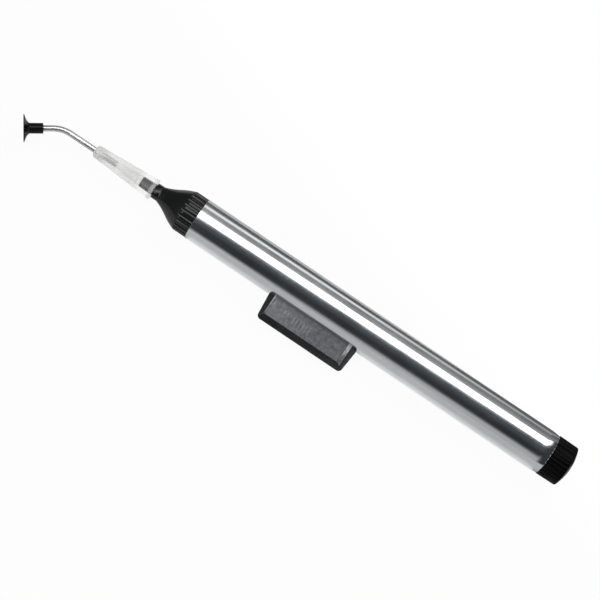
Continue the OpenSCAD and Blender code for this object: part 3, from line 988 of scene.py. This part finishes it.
# Suction cup
# A moulded rubber cup pushed on the needle: a thin flared lip round a shallow hollow, and a plain
# neck with a small round at its end.
lip_radius = 5 * mm
lip_land = 0.45 * mm
lip_edge = 0.3 * mm
cup_neck = 1.9 * mm
cup_neck_round = 0.3 * mm
cup_neck_steps = 5
cup_steps = 144
cup_ease = 0.05 * mm
cup_air = 0.75 * mm
flare_length = 2.4 * mm
flare_power = 2.2
flare_steps = 24
hollow_depth = 1.7 * mm
hollow_power = 1.6
hollow_steps = 16
cup_bottom = cup_length - needle_in_cup
hollow_radius = lip_radius - lip_land


def flare_point(share):
    """A point of the flare, from the lip at 0 to the neck at 1."""
    out = cup_neck + (lip_radius - cup_neck) * (1 - share) ** flare_power
    return (lip_edge + (flare_length - lip_edge) * share, out)


def hollow_point(share):
    """A point of the hollow, from the lip at 0 to the air hole at 1."""
    return (hollow_depth * share, cup_air + (hollow_radius - cup_air) * (1 - share) ** hollow_power)


cup_neck_end = quarter(
    cup_length - cup_neck_round, cup_neck, cup_neck_round, cup_neck_round, cup_neck_steps,
)
cup = spin_outline("cup", [
    (0, hollow_radius),
    (0, lip_radius),
    *[flare_point(step / flare_steps) for step in range(flare_steps + 1)],
    *cup_neck_end,
    (cup_length, needle_seat),
    (cup_bottom, needle_seat),
    (cup_bottom, cup_air),
    *[hollow_point(1 - step / hollow_steps) for step in range(hollow_steps + 1)],
], steps=cup_steps)
ease_edges(cup, cup_ease)
cup_place = needle_turn @ Matrix.Translation((bend_corner, 0, 0))
cup_place = cup_place @ Matrix.Rotation(bend_angle, 4, "Z")
lay_down(cup, cup_place @ Matrix.Translation((-cup_reach, 0, 0)))
cup.data.materials.append(black_rubber)
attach(cup, "needle")
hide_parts("suction_cup")


# Floor
# A plain pale sheet under the pen, turned a little to it, which ends close behind it. To the camera it
# shows white, with a faint share of the pen's shadow that fades out before the sheet's back edge. A
# strip of it along the barrel's foot glows to glossy rays only: a painted glow, which shows as a
# brighter reflection in the steel.
sheet_size = 8.0
sheet_back = 50 * mm
sheet_turn = math.radians(-20)
sheet_tone = 0.8
shadow_fade = 20 * mm
shadow_share = 0.05
# Light of a painted glow on the sheet beside the barrel's foot, seen only in reflections
foot_glow_light = 0.5
foot_reach = 16 * mm
foot_end = 1 * mm
bpy.ops.object.select_all(action="DESELECT")
bpy.ops.mesh.primitive_plane_add(size=sheet_size)
floor = bpy.context.object
floor.name = "floor"
bpy.ops.object.mode_set(mode="EDIT")
bpy.ops.mesh.select_all(action="SELECT")
bpy.ops.transform.translate(value=(0, sheet_back - sheet_size / 2, 0))
bpy.ops.object.mode_set(mode="OBJECT")
floor.rotation_euler.z = sheet_turn
paper = bpy.data.materials.new("white_sheet")
paper.use_nodes = True
paper_tree = paper.node_tree
paper_tree.nodes.remove(paper_tree.nodes["Principled BSDF"])
paper_path = add_node(paper_tree, "ShaderNodeLightPath")
paper_lit = add_node(
    paper_tree, "ShaderNodeBsdfDiffuse", Color=(sheet_tone, sheet_tone, sheet_tone, 1),
)
paper_white = add_node(paper_tree, "ShaderNodeEmission", Color=(1, 1, 1, 1), Strength=1.0)
paper_seen = work_out(
    paper_tree, "ShaderNodeMath", "MAXIMUM",
    paper_path.outputs["Is Camera Ray"], paper_path.outputs["Is Transmission Ray"],
)
paper_place = add_node(paper_tree, "ShaderNodeTexCoord")
paper_axes = add_node(paper_tree, "ShaderNodeSeparateXYZ", Vector=paper_place.outputs["Object"])
paper_clear = map_range(
    paper_tree, paper_axes.outputs["Y"], sheet_back - shadow_fade, sheet_back, 1 - shadow_share, 1.0,
)
paper_share = work_out(paper_tree, "ShaderNodeMath", "MULTIPLY", paper_seen, paper_clear)
paper_mix = add_node(paper_tree, "ShaderNodeMixShader", Fac=paper_share)
paper_tree.links.new(paper_lit.outputs[0], paper_mix.inputs[1])
paper_tree.links.new(paper_white.outputs[0], paper_mix.inputs[2])
# A painted glow: along the barrel's foot the sheet emits light that only glossy rays see
paper_spot = add_node(paper_tree, "ShaderNodeNewGeometry")
paper_off = work_out(
    paper_tree, "ShaderNodeVectorMath", "SUBTRACT",
    paper_spot.outputs["Position"], (barrel_middle.x, barrel_middle.y - barrel_radius, 0),
)
paper_away = work_out(paper_tree, "ShaderNodeVectorMath", "ABSOLUTE", paper_off)
paper_gap = add_node(paper_tree, "ShaderNodeSeparateXYZ", Vector=paper_away)
paper_near = map_range(paper_tree, paper_gap.outputs["Y"], 0.0, foot_reach, foot_glow_light, 0.0)
paper_beside = map_range(
    paper_tree, paper_gap.outputs["X"], barrel_length / 2 - foot_end, barrel_length / 2, 1.0, 0.0,
)
foot_glow_mask = work_out(paper_tree, "ShaderNodeMath", "MULTIPLY", paper_near, paper_beside)
foot_glow_strength = work_out(
    paper_tree, "ShaderNodeMath", "MULTIPLY", foot_glow_mask, paper_path.outputs["Is Glossy Ray"],
)
painted_foot_glow = add_node(
    paper_tree, "ShaderNodeEmission", Color=(1, 1, 1, 1), Strength=foot_glow_strength,
)
paper_sum = add_node(paper_tree, "ShaderNodeAddShader")
paper_tree.links.new(paper_mix.outputs[0], paper_sum.inputs[0])
paper_tree.links.new(painted_foot_glow.outputs[0], paper_sum.inputs[1])
paper_tree.links.new(paper_sum.outputs[0], paper_tree.nodes["Material Output"].inputs["Surface"])
floor.data.materials.append(paper)


# Studio light
# A long softbox over the pen, set at a slant to it and ending beyond its tail, a thin strip light low
# behind it, a dark ceiling round the camera and pale walls in front and at the tail: the bands that a
# polished tube shows. The camera itself sees white behind the pen.
softbox_light = 4.2
softbox_slant = -1.76
softbox_end = 0.2
softbox_end_blur = 0.12
bands = [
    (-90, 0.16),
    (-80, 0.20),
    (-68, 0.22),
    (-58, 0.29),
    (-46, 0.37),
    (-33, 0.42),
    (-26, softbox_light),
    (-1, softbox_light),
    (6, 0.2),
    (19, 0.1),
    (29, 0.08),
    (46, 0.04),
    (90, 0.035),
]
end_bands = [
    (-90, 0.16),
    (-45, 0.3),
    (-25, 0.06),
    (90, 0.035),
]
ceiling_tint = (0.91, 1.0, 1.07)
front_wall = (-2.09, 0.2, 1.0)
front_wall_light = 0.56
front_wall_blur = 0.13
front_wall_low = (-0.4, -0.6)
front_wall_end = (0.17, 0.27)
tail_wall = (1, 0, 0)
tail_wall_light = 0.9
tail_wall_blur = (0.5, 0.75)
strip = (0.93, -0.112, 0.35)
strip_light = 1.25
strip_blur = (0.03, 0.06)
strip_low = (0.5, 0.75)
strip_end = (0.0, 0.16)
strip_left = 0.2
world = bpy.data.worlds.new("studio")
world.use_nodes = True
bpy.context.scene.world = world
studio = world.node_tree
studio_light = studio.nodes["Background"]
studio_place = add_node(studio, "ShaderNodeTexCoord")
studio_axes = add_node(studio, "ShaderNodeSeparateXYZ", Vector=studio_place.outputs["Generated"])
studio_across = work_out(
    studio, "ShaderNodeMath", "MULTIPLY_ADD",
    studio_axes.outputs["X"], softbox_slant, studio_axes.outputs["Y"],
)
studio_near = work_out(studio, "ShaderNodeMath", "MULTIPLY", studio_across, -1.0)
studio_turn = work_out(studio, "ShaderNodeMath", "ARCTAN2", studio_near, studio_axes.outputs["Z"])


def combine(operation, first, second):
    """The sum or product of two values or colours."""
    return work_out(studio, "ShaderNodeVectorMath", operation, first, second)


def add_bands(steps):
    """Bands of light over the pen, each given as (angle from overhead, light)."""
    made = add_node(
        studio, "ShaderNodeValToRGB",
        Fac=map_range(studio, studio_turn, -math.pi / 2, math.pi / 2, 0.0, 1.0),
    )
    stops = []
    for angle, light in steps:
        tint = ceiling_tint if angle > 0 else (1, 1, 1)
        stops.append(((angle + 90) / 180, [light / softbox_light * share for share in tint]))
    set_ramp(made, stops)
    return made.outputs["Color"]


def off_plane(plane):
    """How far a direction lies to one side of a plane through the pen."""
    return work_out(
        studio, "ShaderNodeVectorMath", "DOT_PRODUCT", studio_place.outputs["Generated"], plane,
    )


def mix_colours(share, first, second):
    """A colour that goes from one to another as a share goes from 0 to 1."""
    made = add_node(studio, "ShaderNodeMix", {"data_type": "RGBA"}, Factor=share)
    feed(studio, made.inputs[6], first)
    feed(studio, made.inputs[7], second)
    return made.outputs[2]


studio_tail = map_range(
    studio, studio_axes.outputs["X"], softbox_end, softbox_end + softbox_end_blur, 0.0, 1.0,
)
studio_room = mix_colours(studio_tail, add_bands(bands), add_bands(end_bands))
studio_front = combine(
    "MULTIPLY",
    map_range(
        studio, off_plane(front_wall), front_wall_blur, -front_wall_blur,
        0.0, front_wall_light / softbox_light,
    ),
    combine(
        "MULTIPLY",
        map_range(studio, studio_axes.outputs["Y"], *front_wall_low, 0.0, 1.0),
        map_range(studio, studio_axes.outputs["X"], *front_wall_end, 1.0, 0.0),
    ),
)
studio_strip_gap = work_out(studio, "ShaderNodeMath", "ABSOLUTE", off_plane(strip))
studio_strip = combine(
    "MULTIPLY",
    map_range(studio, studio_strip_gap, *strip_blur, strip_light / softbox_light, 0.0),
    combine(
        "MULTIPLY",
        map_range(studio, studio_axes.outputs["Y"], *strip_low, 0.0, 1.0),
        map_range(studio, studio_axes.outputs["X"], *strip_end, 1.0, strip_left),
    ),
)
studio_tail_wall = map_range(
    studio, off_plane(tail_wall), *tail_wall_blur, 0.0, tail_wall_light / softbox_light,
)
studio_walls = combine("ADD", studio_front, studio_tail_wall)
studio_lit = combine("ADD", studio_room, combine("ADD", studio_walls, studio_strip))
studio_path = add_node(studio, "ShaderNodeLightPath")
studio_shown = work_out(
    studio, "ShaderNodeMath", "MAXIMUM",
    studio_path.outputs["Is Camera Ray"], studio_path.outputs["Is Transmission Ray"],
)
studio_strength = map_range(studio, studio_shown, 0.0, 1.0, softbox_light, 1.0)
studio_colour = mix_colours(studio_shown, studio_lit, (1, 1, 1, 1))
studio.links.new(studio_colour, studio_light.inputs["Color"])
studio.links.new(studio_strength, studio_light.inputs["Strength"])


# Camera
# It looks straight at the trigger's flank, from above and a little in front, with the pen running
# down to the right across the picture.
view_distance = 0.7
view_lens = 118
view_sensor = 36
pen_slant = math.radians(33.9)
view_middle = Vector((46.6 * mm, -3.6 * mm, 0))
camera = bpy.data.objects.new("camera", bpy.data.cameras.new("camera"))
bpy.context.scene.collection.objects.link(camera)
camera.data.lens = view_lens
camera.data.sensor_width = view_sensor
camera_place = pen_lay @ Matrix.Translation(view_middle) @ Matrix.Rotation(pen_slant, 4, "Z")
camera.matrix_world = camera_place @ Matrix.Translation((0, 0, view_distance))
bpy.context.scene.camera = camera
bpy.context.scene.view_settings.view_transform = "Standard"
